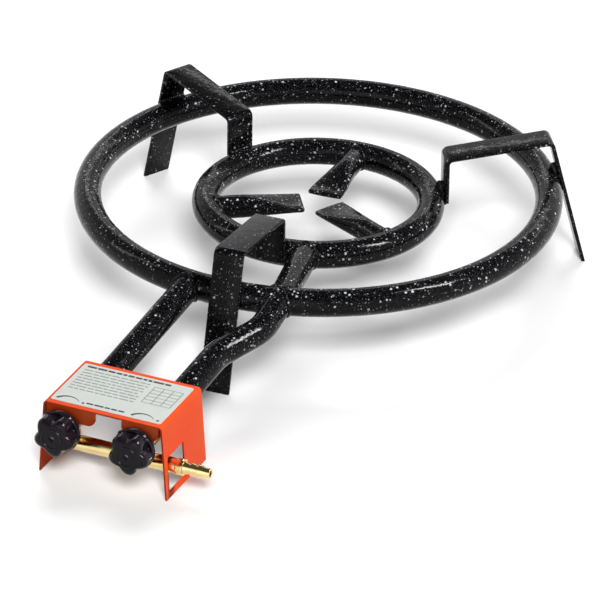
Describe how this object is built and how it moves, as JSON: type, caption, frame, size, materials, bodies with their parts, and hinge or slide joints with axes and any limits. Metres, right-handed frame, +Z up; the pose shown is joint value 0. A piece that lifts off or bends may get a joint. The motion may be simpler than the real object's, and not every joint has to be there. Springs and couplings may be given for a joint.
{
  "type": "two-ring gas burner",
  "caption": "Low outdoor gas burner with concentric speckled enamel ring tubes, bent pan supports, feed tubes and an orange control bracket with push-and-turn taps and a brass hose nozzle.",
  "frame": {"origin": "on the floor, under the middle of the object's box", "axes": "+Z up, +Y from the taps towards the rings, +X to the right seen from the taps, towards the hose nozzle"},
  "size_m": [0.4036, 0.6115, 0.1114],
  "materials": {
    "enamel": "gloss black vitreous enamel with white speckle",
    "orange_paint": "gloss orange paint on folded sheet",
    "label": "satin coated label, bare",
    "brass": "bright turned",
    "steel": "bright drawn",
    "knob_plastic": "gloss moulded"
  },
  "bodies": {
    "burner": {"outer_ring": "enamel", "inner_ring": "enamel", "finger_back": "enamel", "finger_left": "enamel", "finger_right": "enamel", "outer_feed_tube": "enamel", "inner_feed_tube": "enamel", "pan_support_front": "enamel", "pan_support_left": "enamel", "pan_support_right": "enamel", "control_bracket": "orange_paint", "label_plate": "label", "gas_rail": "brass", "rail_plug": "brass", "hose_nozzle": "brass", "left_tap_body": "brass", "left_tap_nut": "brass", "left_tap_bonnet": "brass", "left_injector": "brass", "right_tap_body": "brass", "right_tap_nut": "brass", "right_tap_bonnet": "brass", "right_injector": "brass"},
    "left_plug": {"left_tap_plug": "brass", "left_tap_spring": "steel"},
    "left_handle": {"left_spindle": "steel", "left_knob": "knob_plastic"},
    "right_plug": {"right_tap_plug": "brass", "right_tap_spring": "steel"},
    "right_handle": {"right_spindle": "steel", "right_knob": "knob_plastic"}
  },
  "joints": [
    {"name": "left_tap_turn", "type": "hinge", "parent": "burner", "child": "left_plug", "pos_m": [-0.03624, -0.28425, 0.0435], "axis": [0, -1, 0], "range_deg": [0, 180]},
    {"name": "left_knob_push", "type": "slide", "parent": "left_plug", "child": "left_handle", "axis": [0, 1, 0], "range_m": [0, 0.0025], "stiffness_N_per_m": 1500, "springref_m": -0.002, "deforming": ["left_tap_spring"]},
    {"name": "right_tap_turn", "type": "hinge", "parent": "burner", "child": "right_plug", "pos_m": [0.02676, -0.28425, 0.0435], "axis": [0, -1, 0], "range_deg": [0, 180]},
    {"name": "right_knob_push", "type": "slide", "parent": "right_plug", "child": "right_handle", "axis": [0, 1, 0], "range_m": [0, 0.0025], "stiffness_N_per_m": 1500, "springref_m": -0.002, "deforming": ["right_tap_spring"]}
  ]
}
